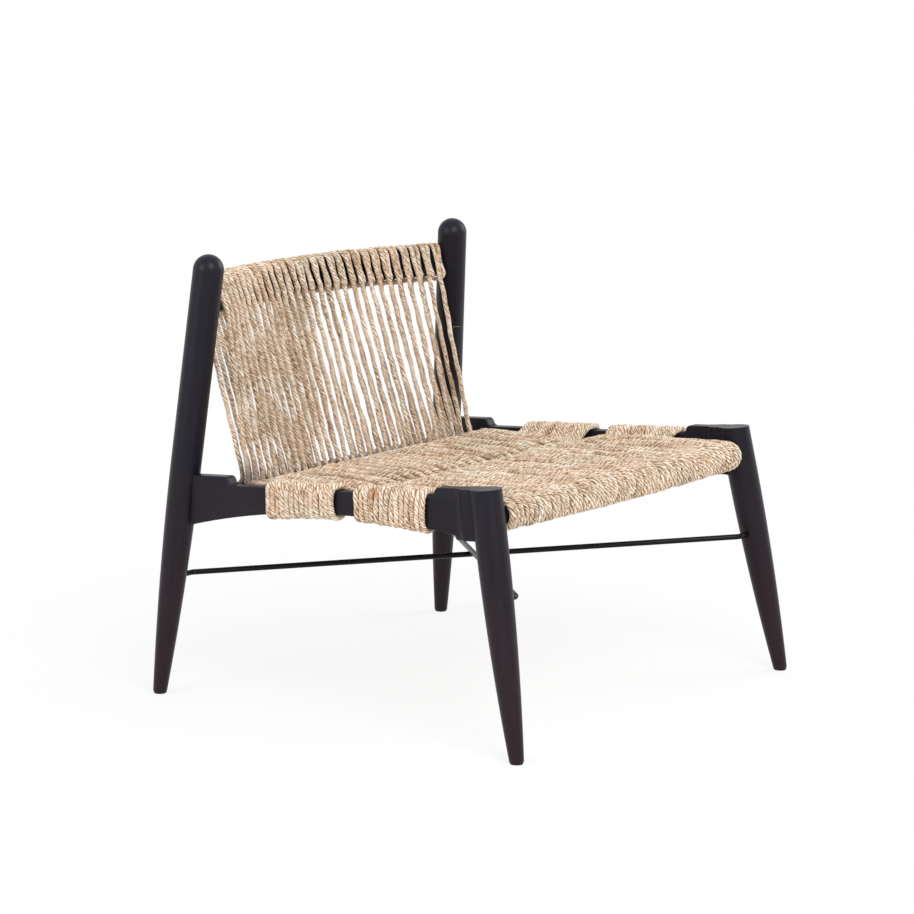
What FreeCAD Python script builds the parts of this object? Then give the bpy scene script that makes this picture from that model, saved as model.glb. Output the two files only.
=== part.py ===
"""Low lounge chair: a turned and ebonised wood frame with a wound cord back and a woven cord seat.

Frame: +Z up, the sitter faces -Y, origin on the floor under the middle of the chair, millimetres.
Left is the -X side and right is the +X side.
"""
import FreeCAD, Part
import Sketcher
import math
import os
from FreeCAD import Vector

doc = FreeCAD.newDocument("lounge_chair")

# Driving dimensions
SIZES = {
    # how far the origin, under the middle of the whole chair, lies behind the middle of its feet
    "origin_setback": 16.55,
    # turned rear posts: where the axis meets the floor, where it meets the dome, and the turning
    "post_height": 668.0,
    "post_foot_x": 349.0,
    "post_foot_y": 335.0,
    "post_top_x": 295.6,
    "post_top_y": 269.0,
    "post_radius": 23.2,
    "post_taper_start": 370.0,
    # turned front legs
    "leg_height": 380.0,
    "leg_foot_x": 346.0,
    "leg_foot_y": 335.0,
    "leg_top_x": 319.6,
    "leg_top_y": 259.5,
    "leg_radius": 23.3,
    "leg_taper_start": 330.0,
    "foot_radius": 10.6,
    "foot_chamfer": 3.5,
    # side rails, measured along the sloping line of their block tops and over a base line under it
    "rail_pitch": 4.37,
    "rail_base_drop": 90.0,
    "rail_centre_x": 320.0,
    "rail_thickness": 20.0,
    "rail_end_depth": 78.0,
    "rail_mid_depth": 48.0,
    "rear_block_length": 84.0,
    "front_block_length": 76.0,
    "ogee_run": 16.5,
    "rail_step": 13.0,
    "rail_edge_round": 2.0,
    "flare_radius": 26.0,
    "flare_width": 17.0,
    # cross rails
    "front_rail_radius": 14.0,
    "front_rail_drop": 41.0,
    "front_tenon_radius": 8.0,
    "rear_rail_radius": 11.0,
    "rear_rail_setback": 68.5,
    "rear_rail_drop": 30.0,
    "rear_tenon_radius": 6.5,
    "tenon_depth": 12.0,
    # bowed top rail of the back
    "top_rail_drop": 70.0,
    "top_rail_thickness": 22.0,
    "top_rail_height": 46.0,
    "top_rail_bow": 75.0,
    "top_rail_tilt": 16.5,
    # steel brace rods
    "rod_radius": 4.2,
    "rod_rear_z": 184.0,
    "rod_front_z": 219.6,
    "rod_stub": 42.0,
    "rod_embed": 15.0,
    "rod_bend_radius": 14.0,
    "rod_crossing_gap": 0.6,
    # joinery
    "dowel_radius": 4.0,
    "dowel_length": 36.0,
    "dowel_in_post": 15.0,
    "dowel_spacing": 34.0,
    "top_dowel_spacing": 20.0,
    "fit_gap": 0.15,
    # cord work
    "cord_radius": 4.5,
    "cord_gap": 0.3,
    "back_turns": 24,
    "back_top_half_width": 272.0,
    "back_foot_half_width": 295.0,
    "back_wrap_gap": 3.4,
    "band_passes": 12,
    "band_pitch": 10.8,
    "rear_band_start": 174.5,
    "front_band_start": 341.0,
    "band_corner_radius": 7.0,
    "band_drop": 21.0,
    "band_drop_run": 5.6,
    "band_shoulder": 3.9,
    "hook_rise": 6.0,
    "web_dip": 14.0,
    "web_corner_radius": 17.0,
    "web_rear_gap": 1.5,
    "web_side_gap": 1.2,
    "nail_radius": 0.7,
    "nail_length": 10.5,
    "nail_embed": 9.0,
    "nail_head_radius": 2.4,
    "nail_head_thickness": 0.8,
}

sheet = doc.addObject("Spreadsheet::Sheet", "dims")
for row, (alias, value) in enumerate(SIZES.items(), start=1):
    sheet.set(f"A{row}", alias)
    sheet.set(f"B{row}", str(value))
    sheet.setAlias(f"B{row}", alias)
doc.recompute()


def dim(alias):
    """Value of one driving dimension, read from the sheet."""
    return float(sheet.get(alias))


def bind(item, prop, expression):
    """Tie a property to the sheet; names after a dollar sign are aliases."""
    item.setExpression(prop, expression.replace("$", "dims."))


# Values worked out from the driving dimensions
FIT = dim("fit_gap")
CORD_R = dim("cord_radius")
CORD_GAP = dim("cord_gap")
PITCH = math.radians(dim("rail_pitch"))
RAIL_X = dim("rail_centre_x")
RAIL_HALF = dim("rail_thickness") / 2
SIDES = (("left", -1), ("right", 1))
RAIL_BASE = dim("rail_base_drop")
TOP_RAIL_Z = dim("post_height") - dim("top_rail_drop")

SETBACK = dim("origin_setback")
POST_FOOT = Vector(dim("post_foot_x"), dim("post_foot_y") - SETBACK, 0)
POST_TOP = Vector(dim("post_top_x"), dim("post_top_y") - SETBACK, dim("post_height"))
LEG_FOOT = Vector(dim("leg_foot_x"), -dim("leg_foot_y") - SETBACK, 0)
LEG_TOP = Vector(dim("leg_top_x"), -dim("leg_top_y") - SETBACK, dim("leg_height"))


def on_axis(foot, top, z):
    """Point of a leg axis at height z."""
    return foot + (top - foot) * (z / top.z)


def mirrored(point, side):
    """The point on the right (+1) or left (-1) side of the chair."""
    return Vector(side * point.x, point.y, point.z)


# The rail line runs from the rear post axis forward to the top of the front leg.
slope_y = (POST_TOP.y - POST_FOOT.y) / POST_TOP.z
rail_drop_to_y = math.tan(PITCH)
post_y_at_line = (POST_FOOT.y + slope_y * (LEG_TOP.z + rail_drop_to_y * LEG_TOP.y)) / (
    1 + slope_y * rail_drop_to_y)
RAIL_LENGTH = (post_y_at_line - LEG_TOP.y) / math.cos(PITCH)


def rail_point(along, height, x=0.0):
    """Point at a distance along the rail from the post axis and a height over the base line."""
    forward = Vector(0, -math.cos(PITCH), math.sin(PITCH))
    upward = Vector(0, math.sin(PITCH), math.cos(PITCH))
    end = Vector(x, LEG_TOP.y, LEG_TOP.z)
    return end + forward * (along - RAIL_LENGTH) + upward * (height - RAIL_BASE)


def rail_placement(x):
    """Frame of a side rail: local X runs forward, local Y up, local Z towards the left."""
    corner = rail_point(0, 0, x)
    forward = rail_point(1, 0, x) - corner
    upward = rail_point(0, 1, x) - corner
    turn = FreeCAD.Rotation(forward, upward, forward.cross(upward))
    return FreeCAD.Placement(corner, turn)


LOWERED = RAIL_BASE - dim("rail_step")


def rail_underside(along):
    """Height of the arched underside over the base line."""
    middle = RAIL_LENGTH / 2
    rise = dim("rail_end_depth") - dim("rail_mid_depth")
    radius = (middle ** 2 + rise ** 2) / (2 * rise)
    centre = RAIL_BASE - dim("rail_mid_depth") - radius
    return centre + math.sqrt(radius ** 2 - (along - middle) ** 2)


REAR_RAIL = rail_point(dim("rear_rail_setback"), RAIL_BASE - dim("rear_rail_drop"))
FRONT_RAIL = on_axis(LEG_FOOT, LEG_TOP, LEG_TOP.z - dim("front_rail_drop"))
TOP_JOINT = on_axis(POST_FOOT, POST_TOP, TOP_RAIL_Z)
BOW_RADIUS = (TOP_JOINT.x ** 2 + dim("top_rail_bow") ** 2) / (2 * dim("top_rail_bow"))
BOW_CENTRE_Y = TOP_JOINT.y + dim("top_rail_bow") - BOW_RADIUS


def bow_y(x):
    """Middle line of the bowed top rail."""
    return BOW_CENTRE_Y + math.sqrt(BOW_RADIUS ** 2 - x ** 2)


# Small helpers for sketches and solids

def origin_plane(body, role):
    """One of the body's own origin planes."""
    return next(item for item in body.Origin.OriginFeatures if item.Role == role)


def add_sketch(body, role, name):
    """A sketch on one of the body's origin planes."""
    sketch = body.newObject("Sketcher::SketchObject", name)
    sketch.AttachmentSupport = [(origin_plane(body, role), "")]
    sketch.MapMode = "FlatFace"
    return sketch


def join_ends(sketch, pairs):
    """Coincident constraints between (edge, end) pairs."""
    for first, first_end, second, second_end in pairs:
        sketch.addConstraint(Sketcher.Constraint("Coincident", first, first_end, second, second_end))


def hold_point(sketch, edge, end, across, up):
    """Tie a sketch point to the sheet, across and up from the sketch origin."""
    for kind, expression in (("DistanceX", across), ("DistanceY", up)):
        if expression is None:
            continue
        point = sketch.getPoint(edge, end)
        value = point.x if kind == "DistanceX" else point.y
        index = sketch.addConstraint(Sketcher.Constraint(kind, -1, 1, edge, end, value))
        bind(sketch, f"Constraints[{index}]", expression)


def segment(sketch, start, end):
    """A straight sketch edge."""
    return sketch.addGeometry(Part.LineSegment(Vector(*start, 0), Vector(*end, 0)))


def arc(sketch, centre, radius, start_angle, end_angle):
    """A sketch arc, anticlockwise between two angles in radians."""
    circle = Part.Circle(Vector(*centre, 0), Vector(0, 0, 1), radius)
    return sketch.addGeometry(Part.ArcOfCircle(circle, start_angle, end_angle))


def cylinder(name, start, end, radius_expression):
    """A Part::Cylinder from one point to another, its radius tied to the sheet."""
    item = doc.addObject("Part::Cylinder", name)
    bind(item, "Radius", radius_expression)
    item.Height = (end - start).Length
    turn = FreeCAD.Rotation(Vector(0, 0, 1), end - start)
    item.Placement = FreeCAD.Placement(start, turn)
    return item


def fused(name, items):
    """Several objects as one tool or piece."""
    item = doc.addObject("Part::MultiFuse", name)
    item.Shapes = items
    return item


def cut(name, base, tool):
    """One object with another taken away."""
    item = doc.addObject("Part::Cut", name)
    item.Base = base
    item.Tool = tool
    return item


# Turned posts and legs

AXIS_UNDER_FLOOR = 4.0


def turned(name, foot, top, prefix, grown, domed):
    """A turned leg round its own axis; grown is a gap added all round for coping a neighbour."""
    length = (top - foot).Length
    radius = dim(f"{prefix}_radius") + grown
    small = dim("foot_radius") + grown
    chamfer = dim("foot_chamfer")
    taper = dim(f"{prefix}_taper_start")
    low = -AXIS_UNDER_FLOOR
    shoulder = chamfer
    swell = radius - small
    run = taper - shoulder
    curve = (run ** 2 + swell ** 2) / (2 * swell)
    body = doc.addObject("PartDesign::Body", name)
    sketch = add_sketch(body, "XZ_Plane", f"{name}_profile")
    end = length - radius if domed else length + 2 * radius
    edges = [
        segment(sketch, (0, low), (small - chamfer, low)),
        segment(sketch, (small - chamfer, low), (small, shoulder)),
        arc(sketch, (radius - curve, taper), curve, -math.asin(run / curve), 0),
        segment(sketch, (radius, taper), (radius, end)),
    ]
    if domed:
        edges.append(arc(sketch, (0, end), radius, 0, math.pi / 2))
        edges.append(segment(sketch, (0, length), (0, low)))
    else:
        edges.append(segment(sketch, (radius, end), (0, end)))
        edges.append(segment(sketch, (0, end), (0, low)))
    join_ends(sketch, [(a, 2, b, 1) for a, b in zip(edges, edges[1:] + edges[:1])])
    hold_point(sketch, edges[1], 2, f"$foot_radius + {grown}", "$foot_chamfer")
    hold_point(sketch, edges[2], 2, f"${prefix}_radius + {grown}", f"${prefix}_taper_start")
    hold_point(sketch, edges[3], 2, f"${prefix}_radius + {grown}", None)
    turning = body.newObject("PartDesign::Revolution", f"{name}_turning")
    turning.Profile = sketch
    turning.ReferenceAxis = (sketch, ["V_Axis"])
    turning.Angle = 360.0
    body.Placement = FreeCAD.Placement(foot, FreeCAD.Rotation(Vector(0, 0, 1), top - foot))
    return body


# sizes of the plain boxes that trim the floor plane and the leg tops
FLOOR_BLOCK = 1200.0
FLOOR_DEPTH = 20.0
LEVELLER = 60.0


def block(name, size, placement):
    """A plain box used as a cutter."""
    item = doc.addObject("Part::Box", name)
    item.Length, item.Width, item.Height = size
    item.Placement = placement
    return item


floor_corner = Vector(-FLOOR_BLOCK / 2, -FLOOR_BLOCK / 2, -FLOOR_DEPTH)
floor = block("floor_cutter", (FLOOR_BLOCK, FLOOR_BLOCK, FLOOR_DEPTH),
              FreeCAD.Placement(floor_corner, FreeCAD.Rotation()))

# Dowels between the side rails and the posts and legs
DOWEL_UPPER = RAIL_BASE - dim("rail_end_depth") / 2 + dim("dowel_spacing") / 2


def rail_dowel_ends(along_start, x):
    """Both dowels of one rail joint, each as a start and an end point."""
    ends = []
    for height in (DOWEL_UPPER, DOWEL_UPPER - dim("dowel_spacing")):
        start = rail_point(along_start, height, x)
        end = rail_point(along_start + dim("dowel_length"), height, x)
        ends.append((start, end))
    return ends


REAR_DOWEL_START = dim("post_radius") - dim("dowel_in_post")
FRONT_DOWEL_START = RAIL_LENGTH - dim("leg_radius") + dim("dowel_in_post") - dim("dowel_length")


def top_dowel_ends(side):
    """Both dowels of one end of the bowed top rail, along the rail's own direction there."""
    shoulder_x = TOP_JOINT.x - dim("post_radius")
    angle = math.asin(shoulder_x / BOW_RADIUS)
    direction = Vector(side * math.cos(angle), -math.sin(angle), 0)
    ends = []
    for offset in (-0.5, 0.5):
        height = TOP_RAIL_Z + offset * dim("top_dowel_spacing")
        lean = math.tan(math.radians(dim("top_rail_tilt"))) * offset * dim("top_dowel_spacing")
        joint = Vector(side * shoulder_x, bow_y(shoulder_x) + lean, height)
        end = joint + direction * dim("dowel_in_post")
        start = end - direction * dim("dowel_length")
        ends.append((start, end))
    return ends


def dowel_group(name, ends):
    """Loose dowels of one kind, as separate solids in one piece."""
    pegs = [cylinder(f"{name}_{i}", start, end, "$dowel_radius") for i, (start, end) in enumerate(ends)]
    group = doc.addObject("Part::Compound", name)
    group.Links = pegs
    return group


def dowel_holes(name, ends):
    """Clearance holes for dowels."""
    holes = []
    for i, (start, end) in enumerate(ends):
        reach = (end - start).normalize() * FIT
        holes.append(cylinder(f"{name}_{i}", start - reach, end + reach, "$dowel_radius + $fit_gap"))
    return holes


# Brace rods: the lower one runs rear left to front right, the upper one rear right to front left.
ROD_R = dim("rod_radius")
ROD_LIFT = ROD_R + dim("rod_crossing_gap") / 2


def rod_ends(rear_side, lift):
    """Axis points of a rod's rear post and front leg, at its own height."""
    rear = on_axis(POST_FOOT, POST_TOP, dim("rod_rear_z") + lift)
    front = on_axis(LEG_FOOT, LEG_TOP, dim("rod_front_z") + lift)
    return mirrored(rear, rear_side), mirrored(front, -rear_side)


def rod_hole(name, axis_point, side):
    """Blind hole for a rod's bent end in the inner side of a post or leg."""
    start = axis_point - Vector(side * dim("rod_stub"), 0, 0)
    end = axis_point - Vector(side * (ROD_TIP - FIT), 0, 0)
    return cylinder(name, start, end, "$rod_radius + $fit_gap")


# the rod's tip stops this far short of the leg's axis
ROD_TIP = dim("leg_radius") - dim("rod_embed")

# which rod enters which side: the lower rod has its rear end on the left
ROD_LIFTS = {("post", -1): -ROD_LIFT, ("leg", 1): -ROD_LIFT, ("post", 1): ROD_LIFT, ("leg", -1): ROD_LIFT}

NODES = []


def keep(item, label):
    """Give a finished piece its node name."""
    item.Label = label
    NODES.append(item)
    return item


post_copes = []
leg_copes = []
for word, side in SIDES:
    foot, top = mirrored(POST_FOOT, side), mirrored(POST_TOP, side)
    blank = turned(f"post_blank_{word}", foot, top, "post", 0.0, True)
    post_copes.append(turned(f"post_cope_{word}", foot, top, "post", FIT, True))
    lift = ROD_LIFTS[("post", side)]
    hole_axis = mirrored(on_axis(POST_FOOT, POST_TOP, dim("rod_rear_z") + lift), side)
    tools = [floor, rod_hole(f"post_rod_hole_{word}", hole_axis, side)]
    tools += dowel_holes(f"post_rail_holes_{word}", rail_dowel_ends(REAR_DOWEL_START, side * RAIL_X))
    tools += dowel_holes(f"post_top_holes_{word}", top_dowel_ends(side))
    keep(cut(f"rear_post_{word}", blank, fused(f"post_tools_{word}", tools)), f"rear_post_{word}")

    foot, top = mirrored(LEG_FOOT, side), mirrored(LEG_TOP, side)
    blank = turned(f"leg_blank_{word}", foot, top, "leg", 0.0, False)
    leg_copes.append(turned(f"leg_cope_{word}", foot, top, "leg", FIT, False))
    lift = ROD_LIFTS[("leg", side)]
    hole_axis = mirrored(on_axis(LEG_FOOT, LEG_TOP, dim("rod_front_z") + lift), side)
    bore_end = FRONT_RAIL.x - dim("leg_radius") + dim("tenon_depth") + FIT
    mouth = Vector(side * (FRONT_RAIL.x - 2 * dim("leg_radius")), FRONT_RAIL.y, FRONT_RAIL.z)
    bottom = Vector(side * bore_end, FRONT_RAIL.y, FRONT_RAIL.z)
    bore = cylinder(f"leg_tenon_bore_{word}", mouth, bottom, "$front_tenon_radius + $fit_gap")
    # the leg is levelled off in the plane of the rail's block tops
    corner = rail_point(RAIL_LENGTH + LEVELLER, RAIL_BASE, side * LEG_TOP.x - LEVELLER)
    slope = FreeCAD.Rotation(Vector(1, 0, 0), -dim("rail_pitch"))
    leveller = block(f"leg_leveller_{word}", (2 * LEVELLER, 2 * LEVELLER, LEVELLER),
                     FreeCAD.Placement(corner, slope))
    tools = [floor, rod_hole(f"leg_rod_hole_{word}", hole_axis, side), bore, leveller]
    tools += dowel_holes(f"leg_rail_holes_{word}", rail_dowel_ends(FRONT_DOWEL_START, side * RAIL_X))
    keep(cut(f"front_leg_{word}", blank, fused(f"leg_tools_{word}", tools)), f"front_leg_{word}")


# Side rails with ogee steps, an arched underside and a flare into the front leg

def rail_board(name):
    """The rail's side outline as a board of the rail's thickness, in the rail's own frame."""
    body = doc.addObject("PartDesign::Body", name)
    sketch = add_sketch(body, "XY_Plane", f"{name}_outline")
    step = dim("rail_step")
    run = dim("ogee_run")
    bend = (run ** 2 + step ** 2) / (4 * step)
    swing = math.asin(run / 2 / bend)
    rear = dim("rear_block_length")
    front = RAIL_LENGTH - dim("front_block_length")
    low = rail_underside(0)
    middle = RAIL_LENGTH / 2
    rise = dim("rail_end_depth") - dim("rail_mid_depth")
    arch = (middle ** 2 + rise ** 2) / (2 * rise)
    arch_centre = RAIL_BASE - dim("rail_mid_depth") - arch
    half_angle = math.asin(middle / arch)
    up = math.pi / 2
    edges = [
        segment(sketch, (0, RAIL_BASE), (0, low)),
        arc(sketch, (middle, arch_centre), arch, up - half_angle, up + half_angle),
        segment(sketch, (RAIL_LENGTH, low), (RAIL_LENGTH, RAIL_BASE)),
        segment(sketch, (RAIL_LENGTH, RAIL_BASE), (front, RAIL_BASE)),
        arc(sketch, (front, RAIL_BASE - bend), bend, up, up + swing),
        arc(sketch, (front - run, LOWERED + bend), bend, 3 * up, 3 * up + swing),
        segment(sketch, (front - run, LOWERED), (rear + run, LOWERED)),
        arc(sketch, (rear + run, LOWERED + bend), bend, 3 * up - swing, 3 * up),
        arc(sketch, (rear, RAIL_BASE - bend), bend, up - swing, up),
        segment(sketch, (rear, RAIL_BASE), (0, RAIL_BASE)),
    ]
    join_ends(sketch, [
        (edges[0], 2, edges[1], 2), (edges[1], 1, edges[2], 1), (edges[2], 2, edges[3], 1),
        (edges[3], 2, edges[4], 1), (edges[4], 2, edges[5], 2), (edges[5], 1, edges[6], 1),
        (edges[6], 2, edges[7], 2), (edges[7], 1, edges[8], 1), (edges[8], 2, edges[9], 1),
        (edges[9], 2, edges[0], 1)])
    hold_point(sketch, edges[8], 2, "$rear_block_length", None)
    hold_point(sketch, edges[6], 2, "$rear_block_length + $ogee_run", "$rail_base_drop - $rail_step")
    hold_point(sketch, edges[0], 2, None, "$rail_base_drop - $rail_end_depth")
    board = body.newObject("PartDesign::Pad", f"{name}_board")
    board.Profile = sketch
    board.Midplane = True
    bind(board, "Length", "$rail_thickness")
    doc.recompute()
    rounds = body.newObject("PartDesign::Fillet", f"{name}_rounds")
    long_edges = []
    for number, edge in enumerate(board.Shape.Edges, start=1):
        flat = abs(edge.BoundBox.ZMax - edge.BoundBox.ZMin) < 1e-6
        upright = edge.BoundBox.XMax - edge.BoundBox.XMin < 1e-6
        if flat and not upright:
            long_edges.append(f"Edge{number}")
    rounds.Base = (board, long_edges)
    bind(rounds, "Radius", "$rail_edge_round")
    return body


# how far a cutter runs past the faces it cuts
OVERCUT = 1.0


def rail_flare(name):
    """The hollow-curved swelling of the rail where it runs into the round leg."""
    low = rail_underside(RAIL_LENGTH - dim("leg_radius"))
    reach = dim("leg_radius") + dim("flare_radius")
    box = doc.addObject("Part::Box", f"{name}_box")
    box.Length = reach
    box.Width = RAIL_BASE - low
    bind(box, "Height", "2 * $flare_width")
    corner = Vector(RAIL_LENGTH - reach, low, -dim("flare_width"))
    box.Placement = FreeCAD.Placement(corner, FreeCAD.Rotation())
    hollows = []
    for sign in (-1, 1):
        centre_z = sign * (RAIL_HALF + dim("flare_radius"))
        start = Vector(RAIL_LENGTH - reach, low - OVERCUT, centre_z)
        end = start + Vector(0, RAIL_BASE - low + 2 * OVERCUT, 0)
        hollows.append(cylinder(f"{name}_hollow_{sign + 1}", start, end, "$flare_radius"))
    return cut(name, box, fused(f"{name}_hollows", hollows))


BAND_STARTS = (("rear", dim("rear_band_start")), ("front", dim("front_band_start")))
BAND_PASSES = int(dim("band_passes"))
BAND_PITCH = dim("band_pitch")


def hook_height(along):
    """Height over the base line of the nail that a side-to-side cord turns round."""
    return rail_underside(along) + dim("hook_rise")


def hook_points(side):
    """Where the side-to-side cords turn round a nail on a rail's inner face."""
    points = []
    first = 0 if side > 0 else 1
    for _, start in BAND_STARTS:
        for turn in range(first, BAND_PASSES - 1, 2):
            along = start + (turn + 0.5) * BAND_PITCH
            hook = rail_point(along, hook_height(along))
            over = rail_point(along, LOWERED)
            points.append(Vector(side * (RAIL_X - RAIL_HALF), over.y, hook.z))
    return points


def nail_group(word, side):
    """Round-headed nails driven into a rail's inner face, one for each turn of cord."""
    inward = Vector(-side, 0, 0)
    nails = []
    for point in hook_points(side):
        shank = Part.makeCylinder(dim("nail_radius"), dim("nail_length") + dim("nail_embed"),
                                  point - inward * dim("nail_embed"), inward)
        head = Part.makeCylinder(dim("nail_head_radius"), dim("nail_head_thickness"),
                                 point + inward * dim("nail_length"), inward)
        nails.append(shank.fuse(head).removeSplitter())
    group = doc.addObject("Part::Feature", f"cord_nails_{word}")
    group.Shape = Part.makeCompound(nails)
    return group


for index, (word, side) in enumerate(SIDES):
    board = rail_board(f"rail_board_{word}")
    flare = rail_flare(f"rail_flare_{word}")
    blank = fused(f"rail_blank_{word}", [board, flare])
    blank.Placement = rail_placement(side * RAIL_X)
    tools = [post_copes[index], leg_copes[index]]
    tools += dowel_holes(f"rail_rear_holes_{word}", rail_dowel_ends(REAR_DOWEL_START, side * RAIL_X))
    tools += dowel_holes(f"rail_front_holes_{word}", rail_dowel_ends(FRONT_DOWEL_START, side * RAIL_X))
    inner = side * (RAIL_X - RAIL_HALF)
    mouth = Vector(inner - side * RAIL_HALF, REAR_RAIL.y, REAR_RAIL.z)
    bottom = Vector(inner + side * (dim("tenon_depth") + FIT), REAR_RAIL.y, REAR_RAIL.z)
    tools.append(cylinder(f"rail_tenon_bore_{word}", mouth, bottom, "$rear_tenon_radius + $fit_gap"))
    for number, point in enumerate(hook_points(side)):
        deep = point + Vector(side * (dim("nail_embed") + FIT), 0, 0)
        mouth = point - Vector(side * RAIL_HALF, 0, 0)
        tools.append(cylinder(f"nail_hole_{word}_{number}", mouth, deep, "$nail_radius + $fit_gap"))
    keep(cut(f"side_rail_{word}", blank, fused(f"rail_tools_{word}", tools)), f"side_rail_{word}")
    keep(nail_group(word, side), f"cord_nails_{word}")

rear_pegs = []
front_pegs = []
top_pegs = []
for _, side in SIDES:
    rear_pegs += rail_dowel_ends(REAR_DOWEL_START, side * RAIL_X)
    front_pegs += rail_dowel_ends(FRONT_DOWEL_START, side * RAIL_X)
    top_pegs += top_dowel_ends(side)
keep(dowel_group("rear_dowels", rear_pegs), "rear_joint_dowels")
keep(dowel_group("front_dowels", front_pegs), "front_joint_dowels")
keep(dowel_group("top_dowels", top_pegs), "top_rail_dowels")

# Round cross rails under the cord
front_bar = cylinder("front_rail_bar", mirrored(FRONT_RAIL, -1), FRONT_RAIL, "$front_rail_radius")
front_bar_coped = cut("front_rail_coped", front_bar, fused("front_rail_copes", leg_copes))
front_tenon_x = FRONT_RAIL.x - dim("leg_radius") + dim("tenon_depth")
front_tenon = cylinder("front_rail_tenon", Vector(-front_tenon_x, FRONT_RAIL.y, FRONT_RAIL.z),
                       Vector(front_tenon_x, FRONT_RAIL.y, FRONT_RAIL.z), "$front_tenon_radius")
keep(fused("front_rail", [front_bar_coped, front_tenon]), "front_rail")

rear_bar_x = RAIL_X - RAIL_HALF - FIT
rear_bar = cylinder("rear_rail_bar", Vector(-rear_bar_x, REAR_RAIL.y, REAR_RAIL.z),
                    Vector(rear_bar_x, REAR_RAIL.y, REAR_RAIL.z), "$rear_rail_radius")
rear_tenon_x = RAIL_X - RAIL_HALF + dim("tenon_depth")
rear_tenon = cylinder("rear_rail_tenon", Vector(-rear_tenon_x, REAR_RAIL.y, REAR_RAIL.z),
                      Vector(rear_tenon_x, REAR_RAIL.y, REAR_RAIL.z), "$rear_tenon_radius")
keep(fused("rear_seat_rail", [rear_bar, rear_tenon]), "rear_seat_rail")


# Bowed top rail: a leaning rounded section turned about a distant upright axis

def bowed_rail(name):
    """The top rail's section swung about the centre of its bow."""
    body = doc.addObject("PartDesign::Body", name)
    sketch = add_sketch(body, "YZ_Plane", f"{name}_section")
    half = dim("top_rail_thickness") / 2
    tilt = math.radians(dim("top_rail_tilt"))
    lean = Vector(math.sin(tilt), math.cos(tilt), 0)
    across = Vector(math.cos(tilt), -math.sin(tilt), 0)
    reach = dim("top_rail_height") / 2 - half
    middle = Vector(BOW_RADIUS, 0, 0)
    upper = middle + lean * reach
    lower = middle - lean * reach
    edges = [
        segment(sketch, tuple(lower + across * half)[:2], tuple(upper + across * half)[:2]),
        arc(sketch, tuple(upper)[:2], half, -tilt, math.pi - tilt),
        segment(sketch, tuple(upper - across * half)[:2], tuple(lower - across * half)[:2]),
        arc(sketch, tuple(lower)[:2], half, math.pi - tilt, 2 * math.pi - tilt),
    ]
    join_ends(sketch, [(a, 2, b, 1) for a, b in zip(edges, edges[1:] + edges[:1])])
    index = sketch.addConstraint(Sketcher.Constraint("Radius", edges[1], half))
    bind(sketch, f"Constraints[{index}]", "$top_rail_thickness / 2")
    swing = body.newObject("PartDesign::Revolution", f"{name}_swing")
    swing.Profile = sketch
    swing.ReferenceAxis = (sketch, ["V_Axis"])
    swing.Midplane = True
    swing.Angle = 2 * math.degrees(math.asin(TOP_JOINT.x / BOW_RADIUS))
    body.Placement = FreeCAD.Placement(Vector(0, BOW_CENTRE_Y, TOP_RAIL_Z), FreeCAD.Rotation())
    return body


top_tools = list(post_copes)
for word, side in SIDES:
    top_tools += dowel_holes(f"top_rail_holes_{word}", top_dowel_ends(side))
keep(cut("top_rail", bowed_rail("top_rail_blank"), fused("top_rail_tools", top_tools)), "top_rail")


# Steel brace rods with both ends bent to enter the legs square

def brace_rod(name, rear_side):
    """One rod: a stub into the rear post, a long diagonal and a stub into the front leg."""
    lift = ROD_LIFTS[("post", rear_side)]
    rear, front = rod_ends(rear_side, lift)
    stub = dim("rod_stub")
    bend = dim("rod_bend_radius")
    slant = Vector(0, front.y - rear.y, front.z - rear.z)
    depth = slant.Length
    stub_run = stub - ROD_TIP
    far_x = abs(front.x - rear.x) - 2 * ROD_TIP
    width = far_x - 2 * stub_run
    turn = math.atan2(depth, width)
    trim = bend * math.tan(turn / 2)
    ray = (math.cos(turn), math.sin(turn))
    body = doc.addObject("PartDesign::Body", name)
    path = add_sketch(body, "XY_Plane", f"{name}_path")
    edges = [
        segment(path, (0, 0), (stub_run - trim, 0)),
        arc(path, (stub_run - trim, bend), bend, -math.pi / 2, turn - math.pi / 2),
        segment(path, (stub_run + ray[0] * trim, ray[1] * trim),
                (stub_run + width - ray[0] * trim, depth - ray[1] * trim)),
        arc(path, (stub_run + width + trim, depth - bend), bend, math.pi / 2, math.pi / 2 + turn),
        segment(path, (stub_run + width + trim, depth), (far_x, depth)),
    ]
    join_ends(path, [(edges[0], 2, edges[1], 1), (edges[1], 2, edges[2], 1), (edges[2], 2, edges[3], 2),
                     (edges[3], 1, edges[4], 1)])
    section = add_sketch(body, "YZ_Plane", f"{name}_section")
    section.addGeometry(Part.Circle(Vector(0, 0, 0), Vector(0, 0, 1), ROD_R))
    index = section.addConstraint(Sketcher.Constraint("Radius", 0, ROD_R))
    bind(section, f"Constraints[{index}]", "$rod_radius")
    doc.recompute()
    pipe = body.newObject("PartDesign::AdditivePipe", f"{name}_pipe")
    pipe.Profile = section
    pipe.Spine = path
    ahead = Vector(-rear_side, 0, 0)
    sideways = slant.normalize()
    normal = ahead.cross(sideways)
    start = rear - Vector(rear_side * ROD_TIP, 0, 0)
    body.Placement = FreeCAD.Placement(start, FreeCAD.Rotation(ahead, sideways, normal))
    return body


keep(brace_rod("brace_rod_lower", -1), "brace_rod_lower")
keep(brace_rod("brace_rod_upper", 1), "brace_rod_upper")


# Cord routes: straight runs joined by pairs of arcs

def corner_arc(start, corner, end):
    """The arc that touches two equal legs of a corner."""
    to_start = start - corner
    to_end = end - corner
    to_middle = (to_start + to_end) * 0.5
    half_angle = to_start.getAngle(to_end) / 2
    nearest = to_start.Length * (1 - math.sin(half_angle)) / math.cos(half_angle)
    middle = corner + to_middle.normalize() * nearest
    return Part.Arc(start, middle, end).toShape()


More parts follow.
